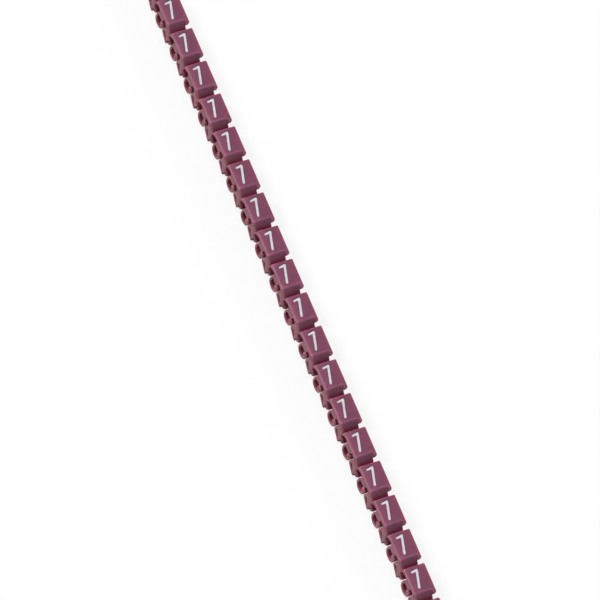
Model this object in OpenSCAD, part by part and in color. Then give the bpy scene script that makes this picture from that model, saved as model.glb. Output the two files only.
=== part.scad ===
// Strip of clip-on cable markers, moulded as one piece and broken off one at a time.
// X runs along the strip, Y along the wire, and Z points out of the label faces.

/* [Strip] */
// Number of markers in the strip
marker_count = 20; // [2:1:30]
// Width of a label along the wire
marker_w = 2.32; // [2:0.02:3.2]
// Height of the label face above the lowest point of the legs
height = 2.4; // [2.2:0.02:3]

/* [Label plate] */
// Length of the flat label face along the strip
label_len = 2.61; // [2.5:0.01:3.2]
// Length of the sloping face in front of the label
ramp_len = 0.94; // [0.8:0.01:1.2]
// Drop of the sloping face from the label to the groove
ramp_drop = 0.44; // [0.3:0.02:0.6]
// Width of the break-off groove between two labels
groove_w = 0.1; // [0.06:0.02:0.2]
// Thickness of the plate
plate_t = 0.36; // [0.28:0.02:0.44]
// Length of the lip that stands out past the legs, along the sloping face
lip_len = 0.54; // [0.4:0.01:0.7]
// Radius of the lip's corner
lip_r = 0.24; // [0.1:0.02:0.3]

/* [Legs] */
// How far the legs stay back from the label's left edge
left_setback = 0.02; // [0.01:0.01:0.2]
// How far the legs stay back from the label's right edge
right_setback = 0.47; // [0.3:0.01:0.7]
// Width of the wire channel between the roots of the two legs
channel_w = 0.73; // [0.6:0.01:0.8]
// Gap at the mouth of the channel, between the loop and the leaf
mouth_gap = 0.07; // [0.04:0.01:0.15]
// Gap between the nose bead and the loop of the next marker
nose_gap = 0.22; // [0.15:0.01:0.35]

/* [Rear leg] */
// Distance from the label's rear edge to the rear leg's root
root_x = 0.91; // [0.8:0.01:1.1]
// Length of the root along the strip
root_len = 0.99; // [0.9:0.01:1.1]
// Depth of the root's underside below the label face
root_depth = 1; // [0.8:0.01:1.1]
// Outer radius of the open spring loop under the root
loop_r = 0.78; // [0.65:0.01:0.85]
// How far the loop's centre lies ahead of the root's middle
loop_lead = 0.12; // [0:0.01:0.25]
// Wall of the spring loop
loop_wall = 0.18; // [0.12:0.01:0.26]
// Height of the sloping shoulder where the loop's rear wall meets the root
shoulder_h = 0.27; // [0.15:0.01:0.4]
// Radius of the bead at the loop's free end
bead_r = 0.33; // [0.2:0.01:0.36]
// Height of the bead's centre above the loop's centre
bead_rise = 0.12; // [0.05:0.01:0.2]

/* [Front leg] */
// Radius of the spring leaf's round rear end
leaf_r = 0.37; // [0.3:0.01:0.42]
// Height of the rear end's centre above the lowest point of the legs
leaf_z = 0.83; // [0.7:0.01:0.95]
// Wall of the leaf round its eye
leaf_wall = 0.12; // [0.08:0.01:0.2]
// Length of the eye between the centres of its two ends
eye_len = 0.62; // [0.4:0.01:0.7]
// Radius of the eye's narrow front end
eye_tip_r = 0.08; // [0.05:0.01:0.12]
// Radius of the leaf's tip
tip_r = 0.18; // [0.12:0.01:0.22]
// Height of the tip's lowest point above that of the rear leg
tip_rise = 0.02; // [0.01:0.01:0.2]
// How far the tip's centre lies behind the next label's rear edge
tip_back = 0.09; // [0:0.01:0.15]
// Radius of the nose bead that runs along the tip
nose_r = 0.47; // [0.4:0.01:0.52]
// Height of the nose bead's lowest point above that of the rear leg
nose_rise = 0.04; // [0.01:0.01:0.12]
// How far the nose bead starts inside the left face of the legs
nose_setback = 0.18; // [0.1:0.01:0.3]
// Radius of the hollow in the leg's front face, above the nose
hollow_r = 0.46; // [0.38:0.01:0.52]
// Thickness of the web that joins two markers, between the groove and the hollow
web_t = 0.13; // [0.08:0.01:0.2]
// Angle of the hollow's centre below the groove's front corner
hollow_angle = 45; // [35:1:55]

/* [Hidden] */
$fn = 64;
plum = [0.52, 0.31, 0.40];

// Places along the strip, from a label's rear edge
ramp_end = label_len + ramp_len;
lip_end = label_len + lip_len;
pitch = ramp_end + groove_w;
channel_x = root_x + root_len;
front_root_x = channel_x + channel_w;

// Places across the strip
left_y = -marker_w / 2;
right_y = marker_w / 2;
leg_left_y = left_y + left_setback;
leg_right_y = right_y - right_setback;

// Heights
plate_z = height - plate_t;
plate_mid_z = height - plate_t / 2;
groove_z = height - ramp_drop;
groove_mid_z = groove_z - plate_t / 2;
root_z = height - root_depth;

// Loop of the rear leg and the bead at its free end, in X and Z
loop_c = [root_x + root_len / 2 + loop_lead, loop_r];
loop_rear_x = loop_c.x - loop_r;
loop_front_x = loop_c.x + loop_r;
bead_c = [loop_front_x - bead_r, loop_c.y + bead_rise];

// Leaf of the front leg with its tip, nose bead, eye and the hollow above the bead
leaf_c = [loop_front_x + mouth_gap + leaf_r, leaf_z];
nose_front_x = pitch + loop_rear_x - nose_gap;
nose_c = [nose_front_x - nose_r, nose_rise + nose_r];
eye_c = leaf_c + [leaf_wall / 2, 0];
tip_c = [pitch - tip_back, tip_rise + tip_r];
eye_tip_c = eye_c + eye_len * (tip_c - leaf_c) / norm(tip_c - leaf_c);
hollow_c = point_on([pitch, groove_z], hollow_r + web_t, -hollow_angle);

strip_len = (marker_count - 1) * pitch + nose_front_x;

function point_on(c, r, angle) = c + r * [cos(angle), sin(angle)];

// A profile in X and Z, drawn out along the wire
module along_wire(from_y, to_y) {
    translate([0, to_y, 0])
        rotate([90, 0, 0])
            linear_extrude(to_y - from_y)
                children();
}

// Two circles joined by their outer tangents
module tapered_round(c1, r1, c2, r2) {
    span = c2 - c1;
    heading = atan2(span.y, span.x);
    spread = acos((r1 - r2) / norm(span));
    translate(c1)
        circle(r1);
    translate(c2)
        circle(r2);
    polygon([
        point_on(c1, r1, heading + spread),
        point_on(c1, r1, heading - spread),
        point_on(c2, r2, heading - spread),
        point_on(c2, r2, heading + spread)
    ]);
}

// Flat label with the sloping face in front of it, as one bent sheet
module plate_profile() {
    polygon([
        [0, height],
        [label_len, height],
        [ramp_end, groove_z],
        [ramp_end, groove_z - plate_t],
        [label_len, plate_z],
        [0, plate_z]
    ]);
}

// Label seen from above, with the round lip at its front right corner
module plate_plan() {
    lip_x = lip_end - lip_r;
    lip_y = right_y - lip_r;
    polygon([
        [0, left_y],
        [ramp_end, left_y],
        [ramp_end, leg_right_y],
        [lip_end, leg_right_y],
        [lip_end, lip_y],
        [lip_x, lip_y],
        [lip_x, right_y],
        [0, right_y]
    ]);
    translate([lip_x, lip_y])
        circle(lip_r);
}

module plate() {
    intersection() {
        along_wire(left_y, right_y)
            plate_profile();
        linear_extrude(height + plate_t)
            plate_plan();
    }
}

// Root and open spring loop: rear wall, round bottom and a bead at the free end
module rear_leg_profile() {
    translate([root_x, root_z])
        square([root_len, plate_mid_z - root_z]);
    difference() {
        intersection() {
            translate(loop_c)
                circle(loop_r);
            translate([loop_rear_x, 0])
                square([2 * loop_r, loop_c.y]);
        }
        translate(loop_c)
            circle(loop_r - loop_wall);
    }
    translate([loop_front_x - loop_wall, loop_c.y])
        square([loop_wall, bead_rise]);
    translate(bead_c)
        circle(bead_r);
    polygon([
        [loop_rear_x, loop_c.y],
        [loop_rear_x, root_z - loop_wall],
        [root_x, root_z + shoulder_h],
        [root_x + loop_wall, root_z + shoulder_h],
        [root_x + loop_wall, root_z],
        [loop_rear_x + loop_wall, root_z],
        [loop_rear_x + loop_wall, loop_c.y]
    ]);
}

// Solid root under the sloping face, with the thin web to the next marker
module front_root_profile(joins_next) {
    under_plate = [
        [front_root_x, leaf_c.y],
        [front_root_x, plate_mid_z],
        [label_len, plate_mid_z],
        [ramp_end, groove_mid_z]
    ];
    web = [
        [ramp_end, groove_z],
        [pitch, groove_z],
        [pitch, plate_mid_z],
        [hollow_c.x, plate_mid_z],
        hollow_c
    ];
    difference() {
        polygon(concat(under_plate, joins_next ? web : [], [tip_c]));
        translate(hollow_c)
            circle(hollow_r);
    }
}

module eye_profile() {
    tapered_round(eye_c, leaf_r - leaf_wall, eye_tip_c, eye_tip_r);
}

// Root and closed spring leaf: a drop that narrows to its tip, with an eye along it
module front_leg_profile(joins_next) {
    difference() {
        union() {
            front_root_profile(joins_next);
            tapered_round(leaf_c, leaf_r, tip_c, tip_r);
        }
        eye_profile();
    }
}

// Round bead along the leaf's tip
module nose_profile() {
    difference() {
        translate(nose_c)
            circle(nose_r);
        eye_profile();
    }
}

// Round roof of the wire channel between the two legs
module channel_roof_profile() {
    roof_r = channel_w / 2;
    difference() {
        translate([channel_x, plate_z - roof_r])
            square([channel_w, plate_mid_z - plate_z + roof_r]);
        translate([channel_x + roof_r, plate_z - roof_r])
            circle(roof_r);
    }
}

module marker(joins_next) {
    plate();
    along_wire(leg_left_y, leg_right_y) {
        rear_leg_profile();
        channel_roof_profile();
        front_leg_profile(joins_next);
    }
    along_wire(leg_left_y + nose_setback, leg_right_y)
        nose_profile();
}

module marker_strip() {
    color(plum)
        translate([-strip_len / 2, 0, 0])
            for (i = [0 : marker_count - 1])
                translate([i * pitch, 0, 0])
                    marker(i < marker_count - 1);
}

marker_strip();
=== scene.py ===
"""Looks of a strip of cable markers: satin plum plastic, soft moulded edges and white digits."""
import math

import bmesh
import bpy
from mathutils import Matrix, Vector


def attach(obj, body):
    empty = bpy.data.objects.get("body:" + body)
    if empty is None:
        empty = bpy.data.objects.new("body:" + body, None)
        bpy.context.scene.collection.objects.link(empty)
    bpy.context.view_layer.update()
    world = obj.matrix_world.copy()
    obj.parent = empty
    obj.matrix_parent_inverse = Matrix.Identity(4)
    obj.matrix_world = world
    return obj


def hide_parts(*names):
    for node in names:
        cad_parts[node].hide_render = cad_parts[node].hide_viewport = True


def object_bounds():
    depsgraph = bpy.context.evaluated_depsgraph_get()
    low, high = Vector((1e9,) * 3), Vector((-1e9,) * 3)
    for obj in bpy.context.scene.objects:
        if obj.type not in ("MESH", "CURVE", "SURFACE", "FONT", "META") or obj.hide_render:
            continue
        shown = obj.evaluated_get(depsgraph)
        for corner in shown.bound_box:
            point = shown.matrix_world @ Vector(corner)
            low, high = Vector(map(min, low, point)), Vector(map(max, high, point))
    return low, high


MM = 0.001

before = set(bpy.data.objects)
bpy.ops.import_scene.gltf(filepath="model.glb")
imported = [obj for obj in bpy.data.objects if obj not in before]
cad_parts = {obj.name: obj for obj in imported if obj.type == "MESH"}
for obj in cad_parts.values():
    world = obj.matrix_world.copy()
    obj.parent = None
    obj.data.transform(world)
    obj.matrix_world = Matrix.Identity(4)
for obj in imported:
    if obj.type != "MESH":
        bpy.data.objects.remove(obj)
cad_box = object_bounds()

# Camera: place and directions in the strip's frame, lens, and the depth that it sees in metres
CAMERA_AT = Vector((141.03, -221.92, 507.30)) * MM
CAMERA_RIGHT = Vector((0.3854, 0.8794, 0.2794))
CAMERA_DOWN = Vector((0.8890, -0.2728, -0.3677))
LENS_MM = 352.4
SENSOR_MM = 36.0
CLIP_NEAR = 0.01
CLIP_FAR = 10.0

# Strip, in millimetres
MARKER_COUNT = 20
MARKER_W = 2.32
HEIGHT = 2.4

# Label plate, in millimetres
LABEL_LEN = 2.61
RAMP_LEN = 0.94
RAMP_DROP = 0.44
GROOVE_W = 0.1
PLATE_T = 0.36
LIP_LEN = 0.54
LIP_R = 0.24

# Both legs, in millimetres
RIGHT_SETBACK = 0.47
CHANNEL_W = 0.73
MOUTH_GAP = 0.07
NOSE_GAP = 0.22

# Rear leg, in millimetres: root, open spring loop and the bead at the loop's free end
ROOT_X = 0.91
ROOT_LEN = 0.99
ROOT_DEPTH = 1.0
LOOP_R = 0.78
LOOP_LEAD = 0.12
SHOULDER_H = 0.27
BEAD_R = 0.33
BEAD_RISE = 0.12

# Front leg, in millimetres and degrees: spring leaf with its eye and tip, nose bead, hollow and web
LEAF_R = 0.37
LEAF_Z = 0.83
EYE_LEN = 0.62
EYE_TIP_R = 0.08
TIP_R = 0.18
TIP_RISE = 0.02
TIP_BACK = 0.09
NOSE_R = 0.47
NOSE_RISE = 0.04
HOLLOW_R = 0.46
HOLLOW_ANGLE = 45.0
WEB_T = 0.13

# Sizes that differ a little from those of the solids, or that only the mesh has, in millimetres
LEFT_SETBACK = 0.03
LOOP_WALL = 0.24
LEAF_WALL = 0.17
EYE_LIFT = 0.06
NOSE_SETBACK = 0.17
LEGS_OVERLAP = 0.08
WEB_SINK = 0.02

# Soft edges and corners, in millimetres
PLATE_EDGE_R = 0.06
LEG_EDGE_R = 0.035
NOSE_EDGE_R = 0.2
BEAD_EDGE_R = 0.14
CORNER_R = 0.12
DIGIT_EDGE_R = 0.01

# Soft label face, in millimetres: a low brow before the sloping face, and a fall to the left edge
BROW_START = 2.4
BROW_X = 2.61
BROW_END = 2.86
BROW_SLOPE = 0.32
CROWN_W = 0.7
CROWN_DROP = 0.03

# Line past which the plate stays flat as a lip, in millimetres, and the width of the step there
LIP_SIDE = [Vector((2.72, 0.85)), Vector((3.55, 0.78))]
LIP_STEP_W = 0.08

# Left edge of the plate, in millimetres: a bevel on top and an undercut below
BEVEL_W = 0.13
BEVEL_DROP = 0.09
UNDERCUT = 0.2

# Fineness of the mesh: degrees to a step of an arc, and steps across an edge, brow, crown and bevel
ARC_STEP = 9.0
ARC_STEPS_MIN = 2
EDGE_STEPS = 3
BROW_STEPS = 12
CROWN_STEPS = 5
BEVEL_STEPS = 5

# Mending of the mesh: how near points are merged, and how narrow a sliver is, in millimetres
MERGE_DISTANCE = 0.0005
TWIN_DISTANCE = 0.00001
SLIVER_W = 0.0002

# Angle from which an edge is shaded as sharp, in degrees
SHARP_ANGLE = 40.0

# Digit, in millimetres: path from the label's rear edge and middle line, half widths, recess and ink
DIGIT_PATH = [Vector((0.53, -0.44)), Vector((0.45, 0.13)), Vector((2.16, -0.34))]
STROKE_HALF = [0.085, 0.115, 0.115]
RECESS_GAP = 0.045
RECESS_DEPTH = 0.07
INK_SINK = 0.02

# Plastic colours from the left edge, at 0, to the right edge, at 1, on the labels and on the legs,
# with painted light and shade in them
# On the labels: the outermost edge darker as painted shade, a pale band just inside it as a painted
# highlight, lighter towards the left as painted light, and the right edge redder as painted light let
# through the thin overhang
FACE_COLOURS_AND_PAINTED_LIGHT = [
    (0.0, (0.180, 0.050, 0.090)),
    (0.035, (0.335, 0.134, 0.195)),
    (0.075, (0.268, 0.081, 0.143)),
    (0.14, (0.246, 0.069, 0.129)),
    (0.45, (0.199, 0.053, 0.106)),
    (0.75, (0.203, 0.053, 0.105)),
    (1.0, (0.255, 0.055, 0.109)),
]
# On the legs: pale zones near the left ends as painted light on the end faces and in the loops, with
# one thin darker stop near the left end as painted shade
LEGS_COLOURS_AND_PAINTED_LIGHT = [
    (0.0, (0.300, 0.115, 0.150)),
    (0.010, (0.300, 0.115, 0.150)),
    (0.013, (0.160, 0.032, 0.058)),
    (0.024, (0.360, 0.135, 0.165)),
    (0.06, (0.270, 0.085, 0.113)),
    (0.11, (0.190, 0.040, 0.070)),
    (0.22, (0.190, 0.025, 0.060)),
]

# Heights between which the colours of the legs give way to those of the labels, in millimetres
LEGS_Z = 2.1
FACE_Z = 2.3

# Light in the plastic: how much goes in, its spread in each colour, and how far in millimetres
SUBSURFACE_WEIGHT = 0.8
SUBSURFACE_SPREAD = (1.0, 0.4, 0.4)
SUBSURFACE_MM = 0.5

# Ink colours where it is full and where it is thin
INK_COLOUR = (0.74, 0.74, 0.77)
INK_THIN_COLOUR = (0.60, 0.59, 0.63)

# Fine detail of the plastic and the ink: sizes in millimetres, noise details and spans of change
NOISE_SPAN = (0.3, 0.7)
PATCH_MM = 0.8
INK_PATCH_MM = 0.25
PATCH_DETAIL = 3.0
PATCH_CHANGE = 0.05
ROUGHNESS_SPAN = (0.34, 0.42)
INK_ROUGHNESS_SPAN = (0.55, 0.7)
SPECULAR_LEVEL = 0.3
GRAIN_MM = 0.08
GRAIN_DETAIL = 2.0
GRAIN_HEIGHT_MM = 0.002

# Soft lamps: name, direction towards the lamp, level, and angle of softness in degrees
LAMPS = [
    ("key", (-0.9, -0.1, 0.42), 1.05, 40.0),
    ("left", (-0.2, -0.6, 0.77), 0.45, 20.0),
    ("right", (0.0, 0.9, 0.43), 0.25, 30.0),
]

# Floor and sky: size in metres, grey, light, and how far each is seen as plain white
FLOOR_SIZE = 4.0
FLOOR_GREY = 0.97
FLOOR_ROUGHNESS = 1.0
FLOOR_WHITE = 0.8
SKY_LEVEL = 0.12
SKY_WHITE = 1.0
WHITE = (1, 1, 1, 1)

# Numbers of the colour sockets on a mix node
MIX_FIRST = 6
MIX_SECOND = 7
MIX_RESULT = 2

# Places that follow from the sizes
ramp_end = LABEL_LEN + RAMP_LEN
lip_end = LABEL_LEN + LIP_LEN
pitch = ramp_end + GROOVE_W
channel_x = ROOT_X + ROOT_LEN
front_root_x = channel_x + CHANNEL_W
left_y = -MARKER_W / 2
right_y = MARKER_W / 2
leg_left_y = left_y + LEFT_SETBACK
leg_right_y = right_y - RIGHT_SETBACK
nose_left_y = leg_left_y + NOSE_SETBACK
plate_z = HEIGHT - PLATE_T
plate_mid_z = HEIGHT - PLATE_T / 2
groove_z = HEIGHT - RAMP_DROP
root_z = HEIGHT - ROOT_DEPTH
legs_top_z = plate_z + LEGS_OVERLAP
roof_r = CHANNEL_W / 2
roof_c = Vector((channel_x + roof_r, plate_z - roof_r))
loop_c = Vector((ROOT_X + ROOT_LEN / 2 + LOOP_LEAD, LOOP_R))
loop_rear_x = loop_c.x - LOOP_R
loop_front_x = loop_c.x + LOOP_R
loop_inner_r = LOOP_R - LOOP_WALL
bead_c = Vector((loop_front_x - BEAD_R, loop_c.y + BEAD_RISE))
leaf_c = Vector((loop_front_x + MOUTH_GAP + LEAF_R, LEAF_Z))
nose_front_x = pitch + loop_rear_x - NOSE_GAP
nose_c = Vector((nose_front_x - NOSE_R, NOSE_RISE + NOSE_R))
tip_c = Vector((pitch - TIP_BACK, TIP_RISE + TIP_R))
eye_c = leaf_c + Vector((LEAF_WALL / 2, EYE_LIFT))
eye_tip_c = eye_c + EYE_LEN * (tip_c - leaf_c).normalized()
hollow_turn = math.radians(HOLLOW_ANGLE)
hollow_way = Vector((math.cos(hollow_turn), -math.sin(hollow_turn)))
hollow_c = Vector((pitch, groove_z)) + (HOLLOW_R + WEB_T) * hollow_way
lip_way = (LIP_SIDE[1] - LIP_SIDE[0]).normalized()
lip_across = Vector((-lip_way.y, lip_way.x))


def arc(centre, radius, start, end):
    """Points on a circle from one angle to another, in degrees, both ends included."""
    steps = max(ARC_STEPS_MIN, math.ceil(abs(end - start) / ARC_STEP))
    angles = [math.radians(start + (end - start) * k / steps) for k in range(steps + 1)]
    return [centre + radius * Vector((math.cos(angle), math.sin(angle))) for angle in angles]


def circle(centre, radius):
    """Points all the way round a circle."""
    return arc(centre, radius, 0, 360)[:-1]


def bearing(origin, target):
    """Angle of the way from one point to another, in degrees."""
    way = target - origin
    return math.degrees(math.atan2(way.y, way.x))


def tangent_turn(wide_c, wide_r, narrow_c, narrow_r):
    """Angle between the line of centres and the touching points of the outer tangents, in degrees."""
    return math.degrees(math.acos((wide_r - narrow_r) / (narrow_c - wide_c).length))


def legs_outline(joins_next):
    """One outline in X and Z of both legs but not their beads, with the channel roof and the web."""
    leaf_top = math.degrees(math.acos((front_root_x - leaf_c.x) / LEAF_R))
    heading = bearing(leaf_c, tip_c)
    turn = tangent_turn(leaf_c, LEAF_R, tip_c, TIP_R)
    points = [
        Vector((ROOT_X, legs_top_z)),
        Vector((ROOT_X, root_z + SHOULDER_H)),
        Vector((loop_rear_x, root_z - LOOP_WALL)),
    ]
    points += arc(loop_c, LOOP_R, 180, 360)
    points += [Vector((loop_front_x, bead_c.y)), Vector((loop_front_x - LOOP_WALL, bead_c.y))]
    points += arc(loop_c, loop_inner_r, 0, -180)
    points += [Vector((loop_rear_x + LOOP_WALL, root_z)), Vector((channel_x, root_z))]
    points += arc(roof_c, roof_r, 180, 0)
    points += arc(leaf_c, LEAF_R, leaf_top, 360 + heading - turn)
    under_plate = [Vector((ramp_end, legs_top_z - RAMP_DROP)), Vector((BROW_END, legs_top_z))]
    if not joins_next:
        points += arc(tip_c, TIP_R, heading - turn, bearing(tip_c, under_plate[0]))
        return points + under_plate
    points += arc(tip_c, TIP_R, heading - turn, bearing(tip_c, hollow_c))
    points += arc(hollow_c, HOLLOW_R, 360 + bearing(hollow_c, tip_c), 90)
    points += [
        Vector((hollow_c.x, legs_top_z)),
        Vector((pitch + WEB_SINK, legs_top_z)),
        Vector((pitch + WEB_SINK, groove_z)),
        Vector((ramp_end, groove_z)),
    ]
    return points + under_plate


def eye_outline():
    """The eye along the leaf, wide behind and narrow in front, as a hole."""
    wide_r = LEAF_R - LEAF_WALL
    heading = bearing(eye_c, eye_tip_c)
    turn = tangent_turn(eye_c, wide_r, eye_tip_c, EYE_TIP_R)
    wide = arc(eye_c, wide_r, heading - turn + 360, heading + turn)
    return wide + arc(eye_tip_c, EYE_TIP_R, heading + turn, heading - turn)


def round_corner(before, corner, after, radius):
    """Points of an arc that rounds one corner of an outline."""
    back = (before - corner).normalized()
    ahead = (after - corner).normalized()
    half = back.angle(ahead) / 2
    centre = corner + (back + ahead).normalized() * (radius / math.sin(half))
    start = corner + back * (radius / math.tan(half))
    end = corner + ahead * (radius / math.tan(half))
    first = bearing(centre, start)
    sweep = (bearing(centre, end) - first + 180) % 360 - 180
    return arc(centre, radius, first, first + sweep)


def rounded(corners):
    """A closed outline from its corners, each a point and the radius that rounds it."""
    points = []
    for k, (corner, radius) in enumerate(corners):
        before = corners[k - 1][0]
        after = corners[(k + 1) % len(corners)][0]
        points += round_corner(before, corner, after, radius) if radius else [corner]
    return points


def plate_outline():
    """The label from above, with the lip at its front right corner."""
    return rounded([
        (Vector((0, left_y)), CORNER_R),
        (Vector((ramp_end, left_y)), 0),
        (Vector((ramp_end, leg_right_y)), 0),
        (Vector((lip_end, leg_right_y)), 0),
        (Vector((lip_end, right_y)), LIP_R),
        (Vector((0, right_y)), CORNER_R),
    ])


def stroke_outline(path, halves):
    """A pen stroke along a path that bends to the right, with round ends and a round outer corner."""
    first, corner, last = path
    into = bearing(first, corner)
    out = bearing(corner, last)
    inner = math.radians((into + out) / 2 - 90)
    mitre = halves[1] / math.cos(math.radians(into - out) / 2)
    points = arc(first, halves[0], into + 90, into + 270)
    points.append(corner + mitre * Vector((math.cos(inner), math.sin(inner))))
    points += arc(last, halves[2], out - 90, out + 90)
    points += arc(corner, halves[1], out + 90, into + 90)
    return points


def inset(outline, depth):
    """The outline moved towards its left side, where the material is."""
    moved = []
    for k, point in enumerate(outline):
        into = (point - outline[k - 1]).normalized()
        out = (outline[(k + 1) % len(outline)] - point).normalized()
        sides = Vector((-into.y - out.y, into.x + out.x))
        moved.append(point + sides * (depth / (1 + into.dot(out))))
    return moved


def extruded(outlines, thickness, edge_r):
    """A flat shape with holes, drawn out evenly to both sides of Z = 0, with round edges."""
    half = thickness / 2
    turns = [math.pi / 2 * k / EDGE_STEPS for k in range(EDGE_STEPS + 1)]
    rim = [(edge_r * (1 - math.sin(turn)), half - edge_r * (1 - math.cos(turn))) for turn in turns]
    levels = [(depth, -z) for depth, z in rim] + rim[::-1]
    bm = bmesh.new()
    caps = [[], []]
    for outline in outlines:
        rings = []
        for depth, z in levels:
            rings.append([bm.verts.new((*point, z)) for point in inset(outline, depth)])
        for low, high in zip(rings, rings[1:]):
            for k in range(len(outline)):
                bm.faces.new((low[k - 1], low[k], high[k], high[k - 1]))
        for cap, ring in zip(caps, (rings[0], rings[-1])):
            cap += [bm.edges.get((ring[k - 1], ring[k])) for k in range(len(ring))]
    for cap in caps:
        bmesh.ops.triangle_fill(bm, use_beauty=True, edges=cap)
    bmesh.ops.recalc_face_normals(bm, faces=bm.faces)
    mesh = bpy.data.meshes.new("extruded")
    bm.to_mesh(mesh)
    bm.free()
    return mesh


def along_wire(outlines, from_y, to_y, edge_r):
    """An outline in X and Z, drawn out along the wire with round edges."""
    mesh = extruded(outlines, to_y - from_y, edge_r)
    middle_y = (from_y + to_y) / 2
    upright = Matrix(((1, 0, 0, 0), (0, 0, -1, middle_y), (0, 1, 0, 0), (0, 0, 0, 1)))
    mesh.transform(upright)
    return mesh


def brow_drop(x):
    """How far the plate has dropped at a place along the strip: it rises to the brow, then falls."""
    rise_len = BROW_X - BROW_START
    fall_len = BROW_END - BROW_X
    rise = BROW_SLOPE * (rise_len + fall_len) / 2
    ramp_slope = (RAMP_DROP + rise) / (fall_len / 2 + ramp_end - BROW_END)
    rising = min(max(x - BROW_START, 0), rise_len)
    falling = min(max(x - BROW_X, 0), fall_len)
    ramp = max(x - BROW_END, 0)
    turn = (ramp_slope + BROW_SLOPE) / (2 * fall_len)
    return (-BROW_SLOPE * rising ** 2 / (2 * rise_len)
            - BROW_SLOPE * falling + turn * falling ** 2
            + ramp_slope * ramp)


def crown_drop(y):
    """How far the plate has dropped at a place across the strip, towards its left edge."""
    inside = max(CROWN_W - (y - left_y), 0) / CROWN_W
    return CROWN_DROP * inside ** 2


def bevel_share(y):
    """How much of the left edge's bevel a place has: all of it on the edge, none inside it."""
    return max(1 - (y - left_y) / BEVEL_W, 0)


def slope_share(x, y):
    """One where the plate follows the brow and the slope, and nought on the flat lip."""
    lip_distance = (Vector((x, y)) - LIP_SIDE[0]).dot(lip_across)
    return min(max(-lip_distance / LIP_STEP_W, 0), 1)


def bent_height(x, y, z):
    """The height to which a point of the flat plate moves."""
    share = bevel_share(y)
    thickness_share = 1 - share * (BEVEL_DROP + UNDERCUT) / PLATE_T
    thinned = z * thickness_share + share * (UNDERCUT - BEVEL_DROP) / 2
    return plate_mid_z + thinned - slope_share(x, y) * brow_drop(x) - crown_drop(y)


def plate_cuts():
    """Planes along which the flat plate is cut so that it can bend, each a point and a normal."""
    brow_w = BROW_END - BROW_START
    crown_w = CROWN_W - BEVEL_W
    places_x = [BROW_START + brow_w * k / BROW_STEPS for k in range(BROW_STEPS + 1)]
    places_y = [left_y + BEVEL_W * (k + 1) / BEVEL_STEPS for k in range(BEVEL_STEPS)]
    places_y += [left_y + BEVEL_W + crown_w * (k + 1) / CROWN_STEPS for k in range(CROWN_STEPS)]
    across = lip_across.to_3d()
    cuts = [((x, 0, 0), (1, 0, 0)) for x in places_x]
    cuts += [((0, y, 0), (0, 1, 0)) for y in places_y]
    cuts += [(LIP_SIDE[0].to_3d() - across * LIP_STEP_W * k, across) for k in range(2)]
    return cuts


def bent_plate():
    """The label plate, with its brow, sloping face, flat lip and soft, bevelled left side."""
    mesh = extruded([plate_outline()], PLATE_T, PLATE_EDGE_R)
    bm = bmesh.new()
    bm.from_mesh(mesh)
    bmesh.ops.remove_doubles(bm, verts=bm.verts, dist=MERGE_DISTANCE)
    for place, normal in plate_cuts():
        whole = bm.verts[:] + bm.edges[:] + bm.faces[:]
        bmesh.ops.bisect_plane(bm, geom=whole, plane_co=place, plane_no=normal)
    for vert in bm.verts:
        vert.co.z = bent_height(*vert.co)
    bm.to_mesh(mesh)
    bm.free()
    return mesh


def combined(meshes, operation):
    """The first mesh with the others added to it or cut from it."""
    holders = []
    for mesh in meshes:
        holder = bpy.data.objects.new("holder", mesh)
        bpy.context.scene.collection.objects.link(holder)
        holders.append(holder)
    for other in holders[1:]:
        step = holders[0].modifiers.new("step", "BOOLEAN")
        step.operation = operation
        step.solver = "EXACT"
        step.object = other
    graph = bpy.context.evaluated_depsgraph_get()
    result = bpy.data.meshes.new_from_object(holders[0].evaluated_get(graph))
    for holder in holders:
        bpy.data.objects.remove(holder)
    return result


def cleaned(mesh):
    """The mesh without most of the twin points and slivers that cuts leave."""
    bm = bmesh.new()
    bm.from_mesh(mesh)
    bmesh.ops.remove_doubles(bm, verts=bm.verts, dist=TWIN_DISTANCE)
    bmesh.ops.dissolve_degenerate(bm, edges=bm.edges, dist=SLIVER_W)
    bm.to_mesh(mesh)
    bm.free()
    return mesh


def digit_mesh(gap, top_z, depth):
    """The digit as a solid stroke, widened by a gap, with its top at a given height."""
    halves = [half + gap for half in STROKE_HALF]
    mesh = extruded([stroke_outline(DIGIT_PATH, halves)], depth, DIGIT_EDGE_R)
    mesh.transform(Matrix.Translation((0, 0, top_z - depth / 2)))
    return mesh


def marker_mesh(joins_next):
    """One marker with the recess for its digit, and with a web where another marker follows."""
    legs = along_wire([legs_outline(joins_next), eye_outline()], leg_left_y, leg_right_y, LEG_EDGE_R)
    bead = along_wire([circle(bead_c, BEAD_R)], leg_left_y, leg_right_y, BEAD_EDGE_R)
    roll = along_wire([circle(nose_c, NOSE_R)], nose_left_y, leg_right_y, NOSE_EDGE_R)
    eye = along_wire([eye_outline()[::-1]], left_y, right_y, LEG_EDGE_R)
    nose = combined([roll, eye], "DIFFERENCE")
    solid = combined([bent_plate(), legs, bead, nose], "UNION")
    recess = digit_mesh(RECESS_GAP, HEIGHT + RECESS_DEPTH, 2 * RECESS_DEPTH)
    return cleaned(combined([solid, recess], "DIFFERENCE"))


def strip_of(name, meshes):
    """One piece from a mesh for each marker, set out along the strip, in metres."""
    whole = bmesh.new()
    start_x = cad_box[0].x / MM
    for k, mesh in enumerate(meshes):
        placed = mesh.copy()
        placed.transform(Matrix.Translation((start_x + k * pitch, 0, 0)))
        whole.from_mesh(placed)
        bpy.data.meshes.remove(placed)
    bmesh.ops.scale(whole, vec=(MM, MM, MM), verts=whole.verts)
    joined = bpy.data.meshes.new(name)
    whole.to_mesh(joined)
    whole.free()
    piece = bpy.data.objects.new(name, joined)
    bpy.context.scene.collection.objects.link(piece)
    joined.shade_smooth()
    joined.set_sharp_from_angle(angle=math.radians(SHARP_ANGLE))
    normals = piece.modifiers.new("flat faces stay flat", "WEIGHTED_NORMAL")
    normals.keep_sharp = True
    return piece


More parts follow.
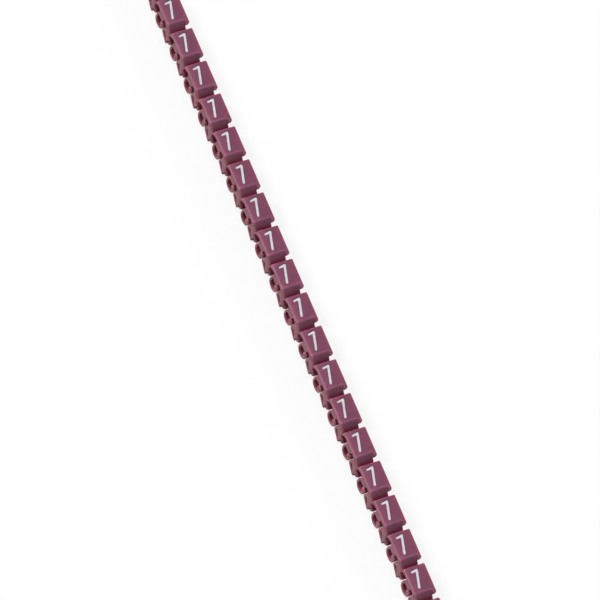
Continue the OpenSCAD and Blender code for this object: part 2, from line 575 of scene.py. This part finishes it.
def add_camera():
    """The camera, turned by its right and down directions, the second made square to the first."""
    data = bpy.data.cameras.new("camera")
    data.sensor_width = SENSOR_MM
    data.lens = LENS_MM
    data.clip_start = CLIP_NEAR
    data.clip_end = CLIP_FAR
    camera = bpy.data.objects.new("camera", data)
    right = CAMERA_RIGHT.normalized()
    up = -(CAMERA_DOWN - CAMERA_DOWN.dot(right) * right).normalized()
    turn = Matrix((right, up, right.cross(up))).transposed()
    camera.matrix_world = Matrix.Translation(CAMERA_AT) @ turn.to_4x4()
    bpy.context.scene.collection.objects.link(camera)
    bpy.context.scene.camera = camera


def new_material(name):
    """A material, its node tree and its main shader."""
    material = bpy.data.materials.new(name)
    material.use_nodes = True
    return material, material.node_tree, material.node_tree.nodes["Principled BSDF"]


def noise(tree, feature_mm, detail):
    """Even noise through the whole piece, with features of a given size."""
    place = tree.nodes.new("ShaderNodeTexCoord")
    texture = tree.nodes.new("ShaderNodeTexNoise")
    texture.inputs["Scale"].default_value = 1 / (feature_mm * MM)
    texture.inputs["Detail"].default_value = detail
    tree.links.new(place.outputs["Object"], texture.inputs["Vector"])
    return texture.outputs["Fac"]


def mapped(tree, value, from_low, from_high, low, high):
    """A number that follows another one from one range to a second range."""
    span = tree.nodes.new("ShaderNodeMapRange")
    span.inputs["From Min"].default_value = from_low
    span.inputs["From Max"].default_value = from_high
    span.inputs["To Min"].default_value = low
    span.inputs["To Max"].default_value = high
    tree.links.new(value, span.inputs["Value"])
    return span.outputs["Result"]


def varied(tree, colour, pattern, change):
    """A colour made a little darker and lighter by a pattern."""
    shift = tree.nodes.new("ShaderNodeHueSaturation")
    level = mapped(tree, pattern, *NOISE_SPAN, 1 - change, 1 + change)
    tree.links.new(colour, shift.inputs["Color"])
    tree.links.new(level, shift.inputs["Value"])
    return shift.outputs["Color"]


def blended(tree, share, first, second):
    """A colour between two others, by a share."""
    mix = tree.nodes.new("ShaderNodeMix")
    mix.data_type = "RGBA"
    tree.links.new(share, mix.inputs["Factor"])
    for socket, colour in ((mix.inputs[MIX_FIRST], first), (mix.inputs[MIX_SECOND], second)):
        if isinstance(colour, tuple):
            socket.default_value = (*colour, 1)
        else:
            tree.links.new(colour, socket)
    return mix.outputs[MIX_RESULT]


def colours_across(tree, across, stops):
    """A colour that follows a list of places and colours."""
    ramp = tree.nodes.new("ShaderNodeValToRGB")
    elements = ramp.color_ramp.elements
    while len(elements) < len(stops):
        elements.new(1.0)
    for element, (place, colour) in zip(elements, stops):
        element.position = place
        element.color = (*colour, 1)
    tree.links.new(across, ramp.inputs["Fac"])
    return ramp.outputs["Color"]


def add_grain(tree, shader):
    """A fine bump all over a surface."""
    bump = tree.nodes.new("ShaderNodeBump")
    bump.inputs["Distance"].default_value = GRAIN_HEIGHT_MM * MM
    tree.links.new(noise(tree, GRAIN_MM, GRAIN_DETAIL), bump.inputs["Height"])
    tree.links.new(bump.outputs["Normal"], shader.inputs["Normal"])


def plastic():
    """Satin plum plastic that lets some red light through, with redder legs and painted light in its
    colours: lighter at the left, a painted highlight along the left edge, a painted glow at the right
    edge and painted shade near the legs' left ends.
    """
    material, tree, shader = new_material("plum plastic")
    place = tree.nodes.new("ShaderNodeTexCoord")
    axes = tree.nodes.new("ShaderNodeSeparateXYZ")
    tree.links.new(place.outputs["Object"], axes.inputs["Vector"])
    across = mapped(tree, axes.outputs["Y"], left_y * MM, right_y * MM, 0, 1)
    raised = mapped(tree, axes.outputs["Z"], LEGS_Z * MM, FACE_Z * MM, 0, 1)
    # Colours across the strip, which hold painted light and painted shade as well as the plastic's
    # own colour
    legs = colours_across(tree, across, LEGS_COLOURS_AND_PAINTED_LIGHT)
    labels = colours_across(tree, across, FACE_COLOURS_AND_PAINTED_LIGHT)
    patches = noise(tree, PATCH_MM, PATCH_DETAIL)
    colour = varied(tree, blended(tree, raised, legs, labels), patches, PATCH_CHANGE)
    roughness = mapped(tree, patches, *NOISE_SPAN, *ROUGHNESS_SPAN)
    tree.links.new(colour, shader.inputs["Base Color"])
    tree.links.new(roughness, shader.inputs["Roughness"])
    add_grain(tree, shader)
    shader.inputs["Specular IOR Level"].default_value = SPECULAR_LEVEL
    shader.inputs["Subsurface Weight"].default_value = SUBSURFACE_WEIGHT
    shader.inputs["Subsurface Radius"].default_value = SUBSURFACE_SPREAD
    shader.inputs["Subsurface Scale"].default_value = SUBSURFACE_MM * MM
    return material


def ink():
    """Matt white stamping ink, a little thin in places."""
    material, tree, shader = new_material("digit ink")
    patches = noise(tree, INK_PATCH_MM, PATCH_DETAIL)
    thin = mapped(tree, patches, *NOISE_SPAN, 0, 1)
    colour = blended(tree, thin, INK_COLOUR, INK_THIN_COLOUR)
    roughness = mapped(tree, patches, *NOISE_SPAN, *INK_ROUGHNESS_SPAN)
    tree.links.new(colour, shader.inputs["Base Color"])
    tree.links.new(roughness, shader.inputs["Roughness"])
    add_grain(tree, shader)
    shader.inputs["Specular IOR Level"].default_value = SPECULAR_LEVEL
    return material


def add_sun(name, towards, level, softness):
    """A soft lamp far away, which lights a white sheet that faces it to the level given."""
    data = bpy.data.lights.new(name, "SUN")
    data.energy = level * math.pi
    data.angle = math.radians(softness)
    lamp = bpy.data.objects.new(name, data)
    lamp.rotation_euler = Vector(towards).to_track_quat("Z", "Y").to_euler()
    bpy.context.scene.collection.objects.link(lamp)


def seen_directly(tree):
    """One for what is seen directly, in a reflection or through a clear piece, and else nought."""
    path = tree.nodes.new("ShaderNodeLightPath")
    seen = path.outputs["Is Camera Ray"]
    for ray in ("Is Glossy Ray", "Is Transmission Ray"):
        either = tree.nodes.new("ShaderNodeMath")
        either.operation = "MAXIMUM"
        tree.links.new(seen, either.inputs[0])
        tree.links.new(path.outputs[ray], either.inputs[1])
        seen = either.outputs["Value"]
    return seen


def whitened(tree, surface, white, share, output):
    """Shows a share of plain white instead of a surface where it is seen directly."""
    part = tree.nodes.new("ShaderNodeMath")
    part.operation = "MULTIPLY"
    part.inputs[1].default_value = share
    tree.links.new(seen_directly(tree), part.inputs[0])
    mix = tree.nodes.new("ShaderNodeMixShader")
    tree.links.new(part.outputs["Value"], mix.inputs["Fac"])
    tree.links.new(surface, mix.inputs[1])
    tree.links.new(white, mix.inputs[2])
    tree.links.new(mix.outputs["Shader"], output.inputs["Surface"])


def add_floor():
    """A pale floor that keeps a faint shadow."""
    bpy.ops.mesh.primitive_plane_add(size=FLOOR_SIZE)
    floor = bpy.context.object
    floor.name = "floor"
    material, tree, shader = new_material("floor")
    shader.inputs["Base Color"].default_value = (FLOOR_GREY, FLOOR_GREY, FLOOR_GREY, 1)
    shader.inputs["Roughness"].default_value = FLOOR_ROUGHNESS
    white = tree.nodes.new("ShaderNodeEmission")
    output = tree.nodes["Material Output"]
    whitened(tree, shader.outputs["BSDF"], white.outputs["Emission"], FLOOR_WHITE, output)
    floor.data.materials.append(material)


def add_surroundings():
    """A dim sky for the light, which the camera and reflections see as white."""
    world = bpy.data.worlds.new("studio")
    bpy.context.scene.world = world
    world.use_nodes = True
    tree = world.node_tree
    sky = tree.nodes["Background"]
    sky.inputs["Color"].default_value = WHITE
    sky.inputs["Strength"].default_value = SKY_LEVEL
    white = tree.nodes.new("ShaderNodeBackground")
    white.inputs["Color"].default_value = WHITE
    output = tree.nodes["World Output"]
    whitened(tree, sky.outputs["Background"], white.outputs["Background"], SKY_WHITE, output)


bpy.context.scene.view_settings.view_transform = "Standard"
add_camera()

joined_marker = marker_mesh(joins_next=True)
last_marker = marker_mesh(joins_next=False)
moulding = strip_of("moulding", [joined_marker] * (MARKER_COUNT - 1) + [last_marker])
moulding.data.materials.append(plastic())
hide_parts("marker_strip")
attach(moulding, "root")

digit = digit_mesh(gap=0, top_z=HEIGHT - INK_SINK, depth=RECESS_DEPTH)
digits = strip_of("digits", [digit] * MARKER_COUNT)
digits.data.materials.append(ink())
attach(digits, "root")

add_floor()
add_surroundings()
for lamp_values in LAMPS:
    add_sun(*lamp_values)
